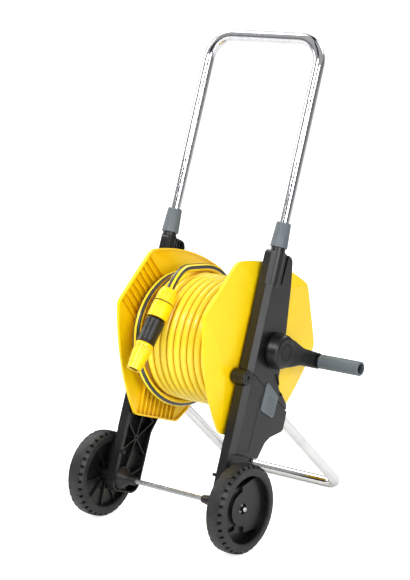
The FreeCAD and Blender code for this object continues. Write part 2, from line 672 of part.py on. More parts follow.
def clamp_collar():
    """Tapered collar with fine flutes, turned to clamp the handle tube."""
    body = cone_z(HANDLE_X, HANDLE_V, COLLAR_LOW_RADIUS, COLLAR_TOP_RADIUS,
                  COLLAR_LOW_U, COLLAR_TOP_U)
    body = fillet(body, 1.2, lambda e: e.Curve.TypeId == "Part::GeomCircle")
    flute_count = 24
    cutters = []
    for i in range(flute_count):
        angle = math.radians(360.0 / flute_count * i)
        low = Vector(HANDLE_X + (COLLAR_LOW_RADIUS + 0.9) * math.cos(angle),
                     HANDLE_V + (COLLAR_LOW_RADIUS + 0.9) * math.sin(angle), COLLAR_LOW_U + 3)
        high = Vector(HANDLE_X + (COLLAR_TOP_RADIUS + 0.9) * math.cos(angle),
                      HANDLE_V + (COLLAR_TOP_RADIUS + 0.9) * math.sin(angle), COLLAR_TOP_U - 4)
        run = high - low
        cutters.append(Part.makeCylinder(1.3, run.Length, low, run))
    body = body.cut(cutters)
    body = body.cut(rod_z(HANDLE_X, HANDLE_V, NECK_RADIUS + 0.1, COLLAR_LOW_U - 1,
                          NECK_TOP_U + 0.5))
    return body.cut(handle_channel(0.3, COLLAR_LOW_U - 1, COLLAR_TOP_U + 1)).removeSplitter()


def handle_tube():
    low = HANDLE_LOW_U
    right_low = Vector(HANDLE_X, HANDLE_V, low)
    right_top = Vector(HANDLE_X, HANDLE_V, HANDLE_TOP_U)
    left_top = Vector(-HANDLE_X, HANDLE_V, HANDLE_TOP_U)
    left_low = Vector(-HANDLE_X, HANDLE_V, low)
    path = tube_path([right_low, right_top, left_top, left_low], [HANDLE_BEND, HANDLE_BEND])
    return swept_tube(path, TUBE_RADIUS, TUBE_RADIUS - TUBE_WALL)


# ---------------------------------------------------------------- drum
def at_drum(shape):
    """Shapes drawn round the X axis move to the drum's axis."""
    moved = shape.copy()
    centre = leg_point(DRUM_U, DRUM_V)
    moved.translate(Vector(0, centre.y, centre.z))
    return moved


def polar(x, distance, degrees):
    angle = math.radians(degrees)
    return Vector(x, distance * math.cos(angle), distance * math.sin(angle))


def flange_outline(x, inset):
    """Six-sided outline: three short straight sides and three long arched ones."""
    corner = FLANGE_CORNER - inset
    arch_centre = LONG_SIDE_RADIUS - LONG_SIDE
    ends = []
    for i in range(3):
        toward = LOBE_ANGLE + 120.0 * i
        for turn in (-1, 1):
            along = polar(0, 1.0, toward + 90.0 * turn)
            arch = polar(x, -arch_centre, toward + 60.0 * turn)
            base = polar(x, SHORT_SIDE - FLANGE_CORNER, toward)
            apart = base - arch
            across = apart.dot(along)
            reach = LONG_SIDE_RADIUS - FLANGE_CORNER
            slide = -across + math.sqrt(across ** 2 - apart.dot(apart) + reach ** 2)
            centre = base + along * slide
            on_short = centre + polar(0, corner, toward)
            on_long = centre + (centre - arch).normalize() * corner
            between = ((on_short + on_long) * 0.5 - centre).normalize() * corner + centre
            ends.append((on_short, between, on_long))
    edges = []
    for i in range(3):
        before, after = ends[2 * i], ends[2 * i + 1]
        following = ends[(2 * i + 2) % 6]
        middle = polar(x, LONG_SIDE - inset, LOBE_ANGLE + 120.0 * i + 60.0)
        edges.append(Part.Arc(before[2], before[1], before[0]).toShape())
        edges.append(Part.LineSegment(before[0], after[0]).toShape())
        edges.append(Part.Arc(after[0], after[1], after[2]).toShape())
        edges.append(Part.Arc(after[2], middle, following[2]).toShape())
    return Part.Wire(edges)


def flange_form(inset, shift):
    """Low six-sided hat: a shallow cone, cut by a steeper plane along each long side."""
    start_x = FLANGE_IN_X - 2.0 if inset else FLANGE_IN_X
    prism = plate_x(flange_outline(start_x, inset), 20.0)
    fall = (FLANGE_OUT_X - FLANGE_RIM_X) / 100.0
    top_x = FLANGE_OUT_X + shift
    cone_length = 20.0
    cone = Part.makeCone(FLANGE_HUB_RADIUS + cone_length / fall, FLANGE_HUB_RADIUS, cone_length,
                         Vector(top_x - cone_length, 0, 0), X_AXIS)
    body = prism.common(cone)
    for i in range(3):
        # a big block above the inclined plane
        steep = math.degrees(math.atan(LONG_SIDE_SLOPE))
        block = Part.makeBox(60.0, 500.0, 400.0, Vector(0, -250.0, -200.0))
        block.rotate(ORIGIN, Vector(0, 1, 0), -steep)
        block.translate(Vector(LONG_EDGE_X + shift, 0, LONG_SIDE))
        block.rotate(ORIGIN, X_AXIS, LOBE_ANGLE + 120.0 * i + 60.0 - 90.0)
        body = body.cut(block)
    return body


def flange():
    """Drum flange on the crank side, drawn round the X axis."""
    shell = flange_form(0.0, 0.0)
    body = shell.cut(flange_form(3.5, -FLANGE_WALL))
    ribs_x = (FLANGE_IN_X + 0.6, FLANGE_OUT_X - 1.0)
    inside = shell.common(plate_x(flange_outline(FLANGE_IN_X, 2.0), 40))
    keep = inside.cut(rod_x(0, 0, CORE_RADIUS + 5, 0, 200))
    for i in range(3):
        for j in range(-4, 5):
            offset = RIB_PITCH * j
            stripe = box(ribs_x[0], ribs_x[1], 90.0, 190.0, offset - 1.0, offset + 1.0)
            stripe.rotate(ORIGIN, X_AXIS, LOBE_ANGLE + 120.0 * i)
            body = body.fuse(stripe.common(keep))
    inner_ring = ring_x(CORE_RADIUS + 6.5, CORE_RADIUS, FLANGE_IN_X + 1, FLANGE_RIM_X + 3.0)
    web = rod_x(0, 0, CORE_RADIUS + 1.0, FLANGE_IN_X + 1, FLANGE_IN_X + 4)
    hub = rod_x(0, 0, SHAFT_RADIUS + 9.0, 60.0, LEG_INNER_X - 2.0)
    body = body.fuse([inner_ring, web, hub])
    body = body.cut(rod_x(0, 0, SHAFT_RADIUS, 0, 200))
    return body.removeSplitter()


def drum_core():
    body = ring_x(CORE_RADIUS, CORE_RADIUS - CORE_WALL, -FLANGE_IN_X - 1, FLANGE_IN_X + 1)
    return body


def winding_radius():
    layer_step = HOSE_DIAMETER * math.sqrt(3) / 2.0
    return CORE_RADIUS + WINDING_GAP + HOSE_DIAMETER + (HOSE_LAYERS - 1) * layer_step


def hose_winding():
    return ring_x(winding_radius(), CORE_RADIUS + WINDING_GAP, -WINDING_HALF_WIDTH,
                  WINDING_HALF_WIDTH)


def crank():
    """Hub and arm of the crank in one moulding, drawn round the X axis."""
    skirt = rod_x(0, 0, CRANK_HUB_RADIUS, CRANK_BASE_X, CRANK_BASE_X + 5.0)
    dome = Part.makeCone(CRANK_HUB_RADIUS, CRANK_HUB_RADIUS - 4.0,
                         CRANK_FACE_X - CRANK_BASE_X - 5.0, Vector(CRANK_BASE_X + 5.0, 0, 0),
                         X_AXIS)
    hub = fillet(skirt.fuse(dome).removeSplitter(), 9.0, lambda e: edge_at(e, x=CRANK_FACE_X))
    end = polar(0, CRANK_LENGTH, CRANK_ANGLE)
    arm_in_x = CRANK_FACE_X - CRANK_ARM_DEPTH
    arm_out_x = CRANK_FACE_X - 0.5
    waist = CRANK_LENGTH * 0.5
    # the arm's side runs from the hub through a waist to the end circle, rounded between
    half = [(8.0, 27.0, 0.0), (26.0, 23.5, 12.0), (waist, 15.5, 60.0),
            (CRANK_LENGTH, CRANK_END_RADIUS, 0.0)]
    corners = [(out, along, radius) for along, out, radius in half]
    corners += [(-out, along, radius) for along, out, radius in reversed(half)]
    beam = outline_plate(corners, arm_in_x, arm_out_x)
    beam.rotate(ORIGIN, X_AXIS, CRANK_ANGLE)
    tip = rod_x(end.y, end.z, CRANK_END_RADIUS, arm_in_x, arm_out_x)
    arm = beam.fuse(tip).removeSplitter()
    arm = fillet(arm, 3.0, lambda e: abs(e.CenterOfMass.x - arm_out_x) < 0.01
                 and e.CenterOfMass.distanceToPoint(Vector(arm_out_x, 0, 0)) > 12.0)
    body = hub.fuse(arm)
    body = body.cut(rod_x(0, 0, CAP_RADIUS + CAP_GROOVE, CRANK_FACE_X - 3.0, CRANK_FACE_X + 1))
    recess = box(arm_out_x - 1.2, arm_out_x + 1, 52, 60, -8, 8)
    recess = recess.fuse(box(arm_out_x - 1.2, arm_out_x + 1, 64, 88, -8.5, 8.5))
    recess.rotate(ORIGIN, X_AXIS, CRANK_ANGLE)
    body = body.cut(recess)
    return body.cut(rod_x(0, 0, SHAFT_RADIUS - 4, 0, 200)).removeSplitter()


def crank_cap():
    cap = rod_x(0, 0, CAP_RADIUS, CRANK_FACE_X - 3.0, CRANK_FACE_X + 0.2)
    return fillet(cap, 0.6, lambda e: edge_at(e, x=CRANK_FACE_X + 0.2))


def crank_shaft():
    flange_end = 62.0
    body = rod_x(0, 0, SHAFT_RADIUS, flange_end, CRANK_BASE_X)
    return body.fuse(rod_x(0, 0, SHAFT_RADIUS - 4, flange_end, CRANK_FACE_X - 3.0))


def grip_spindle():
    end = polar(0, CRANK_LENGTH, CRANK_ANGLE)
    body = rod_x(end.y, end.z, 5.0, CRANK_FACE_X - 0.5, GRIP_END_X - 7.0)
    collar = rod_x(end.y, end.z, 11.0, CRANK_FACE_X - 0.5, CRANK_FACE_X + 2.0)
    head = rod_x(end.y, end.z, 8.6, GRIP_END_X - 9.0, GRIP_END_X - 7.0)
    return body.fuse([collar, head]).removeSplitter()


def grip_sleeve():
    end = polar(0, CRANK_LENGTH, CRANK_ANGLE)
    start_x = CRANK_FACE_X + 2.4
    body = rod_x(end.y, end.z, GRIP_RADIUS, start_x, GRIP_END_X)
    body = fillet(body, 1.5, lambda e: edge_at(e, x=GRIP_END_X) or edge_at(e, x=start_x))
    body = body.cut(rod_x(end.y, end.z, 5.0 + RUN_GAP, 0, 400))
    return body.cut(rod_x(end.y, end.z, 9.8, GRIP_END_X - 9.4, 400)).removeSplitter()


# ---------------------------------------------------------------- water inlet, far side
def inlet_stem():
    """Hollow stem turning with the drum; water goes through it into the hose."""
    body = rod_x(0, 0, SHAFT_RADIUS, -146.0, -62.0)
    return body.cut(rod_x(0, 0, 5.0, -150, -100))


def inlet_elbow():
    """Angled connector on the stem's end, free to swivel, with a quick-coupling nipple."""
    shell = rod_x(0, 0, SHAFT_RADIUS + 6.0, -164.0, -138.0)
    shell = fillet(shell, 4.0, lambda e: edge_at(e, x=-164.0))
    body = shell.fuse(rod_z(-152.0, 0, 11.0, -40.0, -8.0))
    body = body.fuse(rod_z(-152.0, 0, 12.5, -44.0, -40.0))
    body = body.fuse(rod_z(-152.0, 0, 8.5, -60.0, -44.0))
    groove = rod_z(-152.0, 0, 8.6, -52.0, -49.0).cut(rod_z(-152.0, 0, 7.0, -53.0, -48.0))
    body = body.cut(groove)
    body = body.cut(rod_z(-152.0, 0, 5.0, -61.0, -8.0))
    return body.cut(rod_x(0, 0, SHAFT_RADIUS + RUN_GAP, -147.0, -100)).removeSplitter()


# ---------------------------------------------------------------- hose end fittings
FITTING_TOP = Vector(-27.3, 48.3, 435.4)
FITTING_END = Vector(-29.6, -53.1, 312.7)
NUT_END = 25.5                 # distances along the hose end from its top
CONNECTOR_END = 58.0
BODY_END = 108.0
TIP_END = 158.5
fitting_dir = (FITTING_END - FITTING_TOP).normalize()


def along_fitting(distance):
    return FITTING_TOP + fitting_dir * distance


def fitting_rod(radius, d0, d1):
    return Part.makeCylinder(radius, d1 - d0, along_fitting(d0), fitting_dir)


def fitting_cone(r0, r1, d0, d1):
    return Part.makeCone(r0, r1, d1 - d0, along_fitting(d0), fitting_dir)


def fluted(shape, radius, d0, d1, count, depth):
    """Grip flutes cut along a round part of the hose end."""
    side = fitting_dir.cross(X_AXIS).normalize()
    cutters = []
    for i in range(count):
        cutter = Part.makeCylinder(1.4, d1 - d0, along_fitting(d0) + side * (radius + 1.4 - depth),
                                   fitting_dir)
        cutter.rotate(along_fitting(0), fitting_dir, 360.0 / count * i)
        cutters.append(cutter)
    return shape.cut(cutters)


def hose_nut():
    body = fitting_cone(14.5, 17.6, 0.0, 9.0).fuse(fitting_rod(17.6, 9.0, NUT_END))
    body = body.cut(fitting_rod(HOSE_DIAMETER / 2.0 + 0.02, -1.0, NUT_END - 3.0))
    return fluted(body, 17.6, 9.5, NUT_END + 1.0, 20, 0.7).removeSplitter()


def hose_connector():
    body = fitting_rod(14.5, NUT_END, NUT_END + 2.2)
    body = body.fuse(fitting_cone(17.8, 18.6, NUT_END + 2.2, NUT_END + 12.0))
    body = body.fuse(fitting_rod(18.6, NUT_END + 12.0, CONNECTOR_END))
    return body.fuse(fitting_rod(13.0, CONNECTOR_END, CONNECTOR_END + 6.0)).removeSplitter()


def nozzle_body():
    start = CONNECTOR_END + 0.3
    body = fitting_cone(15.2, 17.2, start, start + 4.0)
    body = body.fuse(fitting_cone(17.2, 16.4, start + 4.0, BODY_END - 6.0))
    body = body.fuse(fitting_cone(16.4, 16.9, BODY_END - 6.0, BODY_END))
    body = body.cut(fitting_rod(13.0, CONNECTOR_END - 1.0, CONNECTOR_END + 6.0))
    body = fluted(body, 17.0, start + 9.0, BODY_END - 8.0, 12, 1.2)
    return body.fuse(fitting_rod(9.0, BODY_END, TIP_END - 22.0)).removeSplitter()


def nozzle_tip():
    start = BODY_END + 0.4
    body = fitting_cone(16.0, 16.8, start, start + 3.0)
    body = body.fuse(fitting_cone(16.8, 15.4, start + 3.0, start + 27.0))
    body = fluted(body, 16.2, start + 6.0, start + 25.0, 22, 0.8)
    body = body.fuse(fitting_cone(14.9, 14.2, start + 27.0, TIP_END - 11.0))
    body = body.fuse(fitting_cone(13.6, 12.6, TIP_END - 11.0, TIP_END))
    body = body.cut(fitting_rod(9.0 + RUN_GAP, BODY_END - 2.0, TIP_END - 21.0))
    body = body.cut(fitting_rod(8.6, TIP_END - 4.0, TIP_END + 5.0))
    return body.cut(fitting_rod(4.5, TIP_END - 24.0, TIP_END + 5.0)).removeSplitter()


TAIL_IN_NUT = 22.0             # length of hose gripped by the nut
TAIL_ROUTE = [                 # from the top of the winding down to the nut
    Vector(-44.5, 242.8, 403.6),
    Vector(-44.0, 233.0, 417.1),
    Vector(-43.5, 207.0, 438.2),
    Vector(-42.0, 176.3, 451.8),
    Vector(-39.5, 132.7, 458.6),
    Vector(-35.0, 96.0, 464.4)]


def hose_tail():
    """Outer turn of the hose that leaves the winding and runs into the connector."""
    points = TAIL_ROUTE + [along_fitting(-20.5), along_fitting(TAIL_IN_NUT)]
    bends = []
    for i in range(1, len(points) - 1):
        back = points[i - 1] - points[i]
        ahead = points[i + 1] - points[i]
        turn = math.pi - back.getAngle(ahead)
        bends.append(0.45 * min(back.Length, ahead.Length) / math.tan(turn / 2.0))
    return swept_tube(tube_path(points, bends), HOSE_DIAMETER / 2.0)


# ---------------------------------------------------------------- write the parts
save_pair("lower_leg", from_leg(lower_leg()))
save_pair("leg_cover", from_leg(leg_cover()))
save_pair("latch_button", from_leg(latch_button()))
save_pair("hinge_pin", from_leg(hinge_pin()))
save_pair("stop_pin", from_leg(stop_pin()))
save("stand_tube", stand_tube())
save("axle", axle())
save_pair("wheel", at_axle(wheel()))
save_pair("tyre", at_axle(tyre()))
save_pair("retaining_ring", at_axle(retaining_ring()))

save_pair("upper_leg", from_leg(upper_leg()))
save_pair("leg_neck", from_leg(leg_neck()))
save_pair("clamp_collar", from_leg(clamp_collar()))
save("handle_tube", from_leg(handle_tube()))

save("drum_core", at_drum(drum_core()))
save_pair("flange", at_drum(flange()))
save("crank_shaft", at_drum(crank_shaft()))
save("crank", at_drum(crank()))
save("crank_cap", at_drum(crank_cap()))
save("grip_spindle", at_drum(grip_spindle()))
save("grip_sleeve", at_drum(grip_sleeve()))
save("inlet_stem", at_drum(inlet_stem()))
save("inlet_elbow", at_drum(inlet_elbow()))

save("hose_winding", at_drum(hose_winding()))
save("hose_tail", hose_tail())
save("hose_nut", hose_nut())
save("hose_connector", hose_connector())
save("nozzle_body", nozzle_body())
save("nozzle_tip", nozzle_tip())

for name, volume in written:
    print("%-22s %10.0f mm3" % (name, volume))
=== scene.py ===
# %% [markdown]
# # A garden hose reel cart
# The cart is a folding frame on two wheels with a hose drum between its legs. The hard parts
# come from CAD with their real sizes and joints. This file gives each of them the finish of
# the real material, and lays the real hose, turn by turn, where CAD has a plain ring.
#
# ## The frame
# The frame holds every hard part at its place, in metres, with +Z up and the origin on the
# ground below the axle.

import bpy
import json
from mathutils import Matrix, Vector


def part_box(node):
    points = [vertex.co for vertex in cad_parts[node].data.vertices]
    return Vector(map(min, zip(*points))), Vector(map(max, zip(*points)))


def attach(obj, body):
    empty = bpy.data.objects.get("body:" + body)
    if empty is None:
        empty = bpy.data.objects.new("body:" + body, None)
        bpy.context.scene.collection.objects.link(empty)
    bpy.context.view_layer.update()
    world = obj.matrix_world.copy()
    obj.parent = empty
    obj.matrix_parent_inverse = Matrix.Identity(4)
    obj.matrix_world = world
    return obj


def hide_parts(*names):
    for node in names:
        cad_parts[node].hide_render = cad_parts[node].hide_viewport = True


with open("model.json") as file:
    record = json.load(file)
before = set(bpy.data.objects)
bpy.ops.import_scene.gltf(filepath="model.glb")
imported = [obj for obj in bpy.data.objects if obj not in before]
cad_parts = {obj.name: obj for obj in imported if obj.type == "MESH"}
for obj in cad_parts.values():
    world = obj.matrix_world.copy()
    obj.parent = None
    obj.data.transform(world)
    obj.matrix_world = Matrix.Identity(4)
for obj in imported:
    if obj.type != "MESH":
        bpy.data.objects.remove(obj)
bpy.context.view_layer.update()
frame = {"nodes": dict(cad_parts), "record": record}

# %% [markdown]
# ## Modules and the drum's axis
# Sizes below are written in millimetres and multiplied by MM. The hose winds round the drum,
# so the middle of the drum's core is the one place that everything soft is measured from.

# %% Modules and sizes
import json
import math
import bpy
from mathutils import Matrix, Vector

MM = 0.001
low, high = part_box("drum_core")
DRUM = (Vector(low) + Vector(high)) / 2
print("drum axis at y %.1f mm, z %.1f mm" % (DRUM.y / MM, DRUM.z / MM))

# %% [markdown]
# ## Camera
# The camera stands to the front left of the crank side, a little above the drum, with a long
# lens from about three metres. "Front" is where the hose end hangs. A long lens keeps the two
# legs nearly parallel. The small shift only frames the cart; the roll is how level the camera
# was held.

# %% Camera
AIM = Vector((0.0, 0.102, 0.392))
AZIMUTH, ELEVATION, ROLL = (math.radians(v) for v in (38.86, 14.19, -1.21))
DISTANCE = 3.118
FRAME_SIDE = 580                  # long side of the picture
FOCAL = 1736                      # focal length in the same unit as the picture's side
SHIFT_RIGHT, SHIFT_UP = 4.1, 19.9           # of the lens, in that unit too


def camera_axes(azimuth, elevation, roll):
    """Directions of the camera's right, up and back."""
    back = Vector((math.sin(azimuth) * math.cos(elevation),
                   -math.cos(azimuth) * math.cos(elevation), math.sin(elevation)))
    right = Vector((math.cos(azimuth), math.sin(azimuth), 0))
    up = back.cross(right)
    return (right * math.cos(roll) + up * math.sin(roll),
            up * math.cos(roll) - right * math.sin(roll), back)


right, up, back = camera_axes(AZIMUTH, ELEVATION, ROLL)
lens = bpy.data.cameras.new("studio_camera")
lens.sensor_width = 36
lens.lens = FOCAL / FRAME_SIDE * lens.sensor_width
lens.shift_x = SHIFT_RIGHT / FRAME_SIDE
lens.shift_y = SHIFT_UP / FRAME_SIDE
camera = bpy.data.objects.new("studio_camera", lens)
camera.matrix_world = Matrix.Translation(AIM + back * DISTANCE) @ Matrix(
    (right, up, back)).transposed().to_4x4()
bpy.context.scene.collection.objects.link(camera)
bpy.context.scene.camera = camera
print("lens %.1f mm" % lens.lens)

# %% [markdown]
# ## The hose as one line
# A half-inch garden hose, 15.3 mm thick, lies on the drum in two layers of twelve turns. The
# second layer rests in the grooves of the first. A third layer has begun: it leaves the far
# flange, crosses the turns below it, comes over the top and goes into the yellow nut. A ring
# with grooves would be quicker, but only a real line of turns shows the slant, the crossings
# and the gaps, so the whole hose is one NURBS spline, and a turn is 14 control points on it.

# %% Turns of the hose
HOSE = 15.3 * MM
CORE = 90.2 * MM
TURNS = 12                        # in each layer
PER_TURN = 14                     # control points for each turn
FIRST_LAYER = CORE + HOSE / 2
SECOND_LAYER = FIRST_LAYER + HOSE * math.sqrt(3) / 2
SIDE = 84.35 * MM                 # middle of the turn next to a flange
PITCH = 2 * SIDE / (TURNS - 1)
SWAY = 0.35 * MM                  # how unevenly the turns were laid by hand
ROUNDING = math.cos(math.pi / PER_TURN)   # the spline cuts inside its corners by this much


def on_drum(x, degrees, radius):
    """A control point for hose whose middle is that far from the drum's axis."""
    angle = math.radians(degrees)
    reach = radius / ROUNDING
    return Vector((x, DRUM.y + reach * math.cos(angle), DRUM.z + reach * math.sin(angle)))


def layer(start, step, radius):
    """Turns side by side; the last one stays against the flange."""
    points = []
    for i in range(TURNS * PER_TURN):
        turn = i / PER_TURN
        wobble = SWAY * math.sin(2.1 * turn) * math.sin(9.7 * turn)
        across = start + step * min(turn, TURNS - 1) + wobble
        points.append(on_drum(across, FIRST_DEGREE + 360 * turn, radius))
    return points


FIRST_DEGREE = 100.0              # where a layer starts, in degrees from the rear over the top
route = layer(-SIDE, PITCH, FIRST_LAYER)
route += layer(SIDE, -PITCH, SECOND_LAYER)
CROSSING = [                      # x in mm, degrees, middle's distance from the axis in mm
    (-84, 104, 113), (-84, 130, 118), (-82.5, 156, 124), (-78, 182, 126.5), (-72, 208, 127),
    (-66, 234, 127), (-60.5, 260, 127), (-56, 286, 127), (-52, 312, 127), (-48.5, 338, 127)]
route += [on_drum(x * MM, degrees, radius * MM) for x, degrees, radius in CROSSING]
TO_THE_NUT = [                    # in mm, over the top and down into the nut
    (-46.5, 269.0, 341.5), (-45.2, 257.0, 380.5), (-44.0, 233.0, 417.1),
    (-43.5, 207.0, 438.2), (-42.0, 176.3, 451.8), (-39.5, 132.7, 458.6),
    (-35.0, 96.0, 464.4), (-27.0, 61.4, 451.2), (-27.5, 37.8, 422.7), (-27.6, 34.3, 418.4)]
route += [Vector(p) * MM for p in TO_THE_NUT]
print("control points:", len(route))

# %% [markdown]
# ## How the hose rolls
# A hose turns about its own length as it is wound. The printed lines of this one look out
# from the drum on the last three turns and in the loose end, and face the core on all the
# others. Blender keeps the spline's own frame as steady as it can, so the side that looks out
# drifts by a quarter turn up to the middle of the length and back again; each control point
# is tilted by what is missing.

# %% Roll of the hose
PRINT_MIDDLE = 0.18               # where the lines are round the hose, 0 to 1
TURNS_IN_VIEW = 3.1               # turns at the end that show their lines
ROLL_OVER = 1.2                   # turns it takes to roll from one side to the other
BY_THE_FLANGE = 0.09              # the turn by the flange is rolled on by this much
FLANGE_TURN, FLANGE_REACH = 2.2, 0.9      # in turns: its place from the end, and how far it eases
OUT_AT_ENDS, DRIFT = 0.17, 0.25   # what looks out without any tilt, and how far it drifts


def looks_out(share):
    """Which part of the hose's round faces away from the drum, by share of the length."""
    return OUT_AT_ENDS + DRIFT * (1 - abs(2 * share - 1))


def tilt_at(i, count):
    """Tilt of one control point that brings the printed lines to the right side."""
    turns_left = (count - 1 - i) / PER_TURN
    hidden = min(max((turns_left - TURNS_IN_VIEW) / ROLL_OVER, 0.0), 1.0)
    edge = max(0.0, 1 - abs(turns_left - FLANGE_TURN) / FLANGE_REACH)
    wanted = PRINT_MIDDLE + 0.5 * hidden + BY_THE_FLANGE * edge
    return 2 * math.pi * (looks_out(i / (count - 1)) - wanted)


print("tilt at the two ends: %.2f and %.2f rad" % (
    tilt_at(0, len(route)), tilt_at(len(route) - 1, len(route))))

# %% [markdown]
# ## Laying it
# The spline is first built once without thickness and turned into a mesh, which is removed
# again. It turns with the drum, and it stands in for the ring and the short tube that CAD
# has in its place.


# %% Lay the hose
def hose_curve(name, points, bevel):
    """The hose as a curve; a control point's radius multiplies the bevel."""
    curve = bpy.data.curves.new(name, "CURVE")
    curve.dimensions = "3D"
    spline = curve.splines.new("NURBS")
    spline.points.add(len(points) - 1)
    for i, (control, place) in enumerate(zip(spline.points, points)):
        control.co = (*place, 1.0)
        control.radius = HOSE / 2
        control.tilt = tilt_at(i, len(points))
    spline.order_u = 3
    spline.use_endpoint_u = True
    spline.resolution_u = 4
    curve.bevel_depth = bevel
    curve.bevel_resolution = 6
    curve.use_fill_caps = True
    return curve


line = bpy.data.objects.new("hose_line", hose_curve("hose_line", route, 0.0))
bpy.context.scene.collection.objects.link(line)
bpy.context.view_layer.update()
ready = line.evaluated_get(bpy.context.evaluated_depsgraph_get())
measured = bpy.data.meshes.new_from_object(ready)
bpy.data.meshes.remove(measured)
bpy.data.objects.remove(line)

hose = bpy.data.objects.new("garden_hose", hose_curve("garden_hose", route, 1.0))
bpy.context.scene.collection.objects.link(hose)
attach(hose, "drum")
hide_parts("hose_winding", "hose_tail")

# %% [markdown]
# ## Colours and nodes
# Plastic colours are known by their hex codes, and Blender mixes light in linear values, so
# one function turns the first into the second. A second one adds a shader node and fills its
# inputs, with a number or with another node's output, to keep each recipe readable from top
# to bottom. Colours that don't vary are set on the socket itself.


# %% Colours and nodes
def colour(code):
    """sRGB hex, such as 'FFD800', to linear red, green, blue and alpha."""
    channels = [int(code[i:i + 2], 16) / 255 for i in (0, 2, 4)]
    linear = [c / 12.92 if c <= 0.04045 else ((c + 0.055) / 1.055) ** 2.4 for c in channels]
    return (*linear, 1.0)


def add(tree, kind, inputs=None, **settings):
    """Adds a node; inputs are values or sockets of other nodes."""
    made = tree.nodes.new(kind)
    for key, value in settings.items():
        setattr(made, key, value)
    for key, value in (inputs or {}).items():
        if isinstance(value, bpy.types.NodeSocket):
            tree.links.new(value, made.inputs[key])
        else:
            made.inputs[key].default_value = value
    return made


def new_material(name):
    material = bpy.data.materials.new(name)
    material.use_nodes = True
    material.node_tree.nodes.clear()
    return material, material.node_tree


def finish(tree, shader):
    add(tree, "ShaderNodeOutputMaterial", {"Surface": shader.outputs["BSDF"]})


def ramp(tree, factor, stops):
    """A colour ramp; stops are (position, linear colour)."""
    made = add(tree, "ShaderNodeValToRGB", {"Fac": factor})
    band = made.color_ramp
    while len(band.elements) < len(stops):
        band.elements.new(0.5)
    for element, (place, shade) in zip(band.elements, stops):
        element.position = place
        element.color = shade
    return made.outputs["Color"]


print("linear yellow", [round(c, 3) for c in colour("FFD800")])

# %% [markdown]
# ## Moulded plastics
# Legs, wheels and crank are black polypropylene moulded in a spark-eroded tool, which leaves
# a fine matte grain. Drum flanges and hose nuts are polypropylene too, yellow and smoother,
# with a soft gloss. Collars, latches and the grip are grey. The tread is polyethylene, duller
# and coarser. One recipe makes all four: two nearby colours mixed by large soft noise, a
# roughness that drifts a little, and grain as bump. Polypropylene's IOR is 1.49. The true
# grain is near 0.3 mm; it is drawn at 1.6 mm or more, because anything finer can't show on a
# cart this size.
#
# Soft studio light alone would wash out the shade between ribs and in grooves, so shade is
# painted in: the colour gets deeper where a surface looks into a corner.

# %% Plastic recipe
PAINTED_SHADE_REACH = 9 * MM             # how far away a wall still casts painted shade into a corner


def painted_corner_shade(tree, shade, corner_shade):
    """The given colour, turning to the painted shade colour in grooves and between ribs."""
    opening = add(tree, "ShaderNodeAmbientOcclusion", {"Distance": PAINTED_SHADE_REACH}, samples=6)
    depth = add(tree, "ShaderNodeMapRange", {
        "Value": opening.outputs["AO"], "From Min": 0.25, "From Max": 0.85})
    mixed = add(tree, "ShaderNodeMix", {"Factor": depth.outputs["Result"]}, data_type="RGBA")
    mixed.inputs["A"].default_value = colour(corner_shade)
    tree.links.new(shade, mixed.inputs["B"])
    return mixed.outputs["Result"]


def moulded_plastic(name, dark, light, corner_shade, roughness, grain_mm, grain_height_mm):
    material, tree = new_material(name)
    where = add(tree, "ShaderNodeTexCoord").outputs["Object"]
    drift = add(tree, "ShaderNodeTexNoise", {"Vector": where, "Scale": 14.0, "Detail": 3.0})
    shade = ramp(tree, drift.outputs["Fac"], [(0.35, colour(dark)), (0.65, colour(light))])
    # painted shade in corners and grooves
    shade = painted_corner_shade(tree, shade, corner_shade)
    matte = add(tree, "ShaderNodeMapRange", {
        "Value": drift.outputs["Fac"], "From Min": 0.3, "From Max": 0.7,
        "To Min": roughness - 0.04, "To Max": roughness + 0.05})
    grain = add(tree, "ShaderNodeTexNoise", {
        "Vector": where, "Scale": 1.0 / (grain_mm * MM), "Detail": 2.0})
    edge = add(tree, "ShaderNodeBevel", {"Radius": 0.7 * MM}, samples=4)
    bump = add(tree, "ShaderNodeBump", {
        "Height": grain.outputs["Fac"], "Distance": grain_height_mm * MM,
        "Strength": 0.6, "Normal": edge.outputs["Normal"]})
    finish(tree, add(tree, "ShaderNodeBsdfPrincipled", {
        "Base Color": shade, "Roughness": matte.outputs["Result"],
        "Normal": bump.outputs["Normal"], "IOR": 1.49}))
    return material


# The fourth colour of each plastic is the painted shade of its corners and grooves.
black_pp = moulded_plastic(
    "black_polypropylene", "0A0A0B", "111112", "030303", 0.38, 1.6, 0.05)
yellow_pp = moulded_plastic(
    "yellow_polypropylene", "FFD200", "FFDA08", "C88A00", 0.32, 2.2, 0.02)
grey_pp = moulded_plastic(
    "grey_polypropylene", "596268", "646D72", "2E3336", 0.44, 1.6, 0.03)
tyre_pe = moulded_plastic(
    "black_polyethylene_tread", "1C1D1E", "252627", "080808", 0.5, 2.4, 0.12)
print("plastics:", [m.name for m in (black_pp, yellow_pp, grey_pp, tyre_pe)])

# %% [markdown]
# ## Metals
# The handle and the stand are bent steel tube with bright chrome on nickel: almost a mirror,
# with faint polishing streaks, drawn out along the two sides of the frame. The axle, its
# spring rings and the crank shaft are zinc-plated, greyer and duller. A metal's colour is its
# base colour, and its IOR stays as it is.


# %% Metal recipes
STREAK_SHAPE = (1.0, 0.15, 0.15)  # how fast the streaks vary across, along and upwards


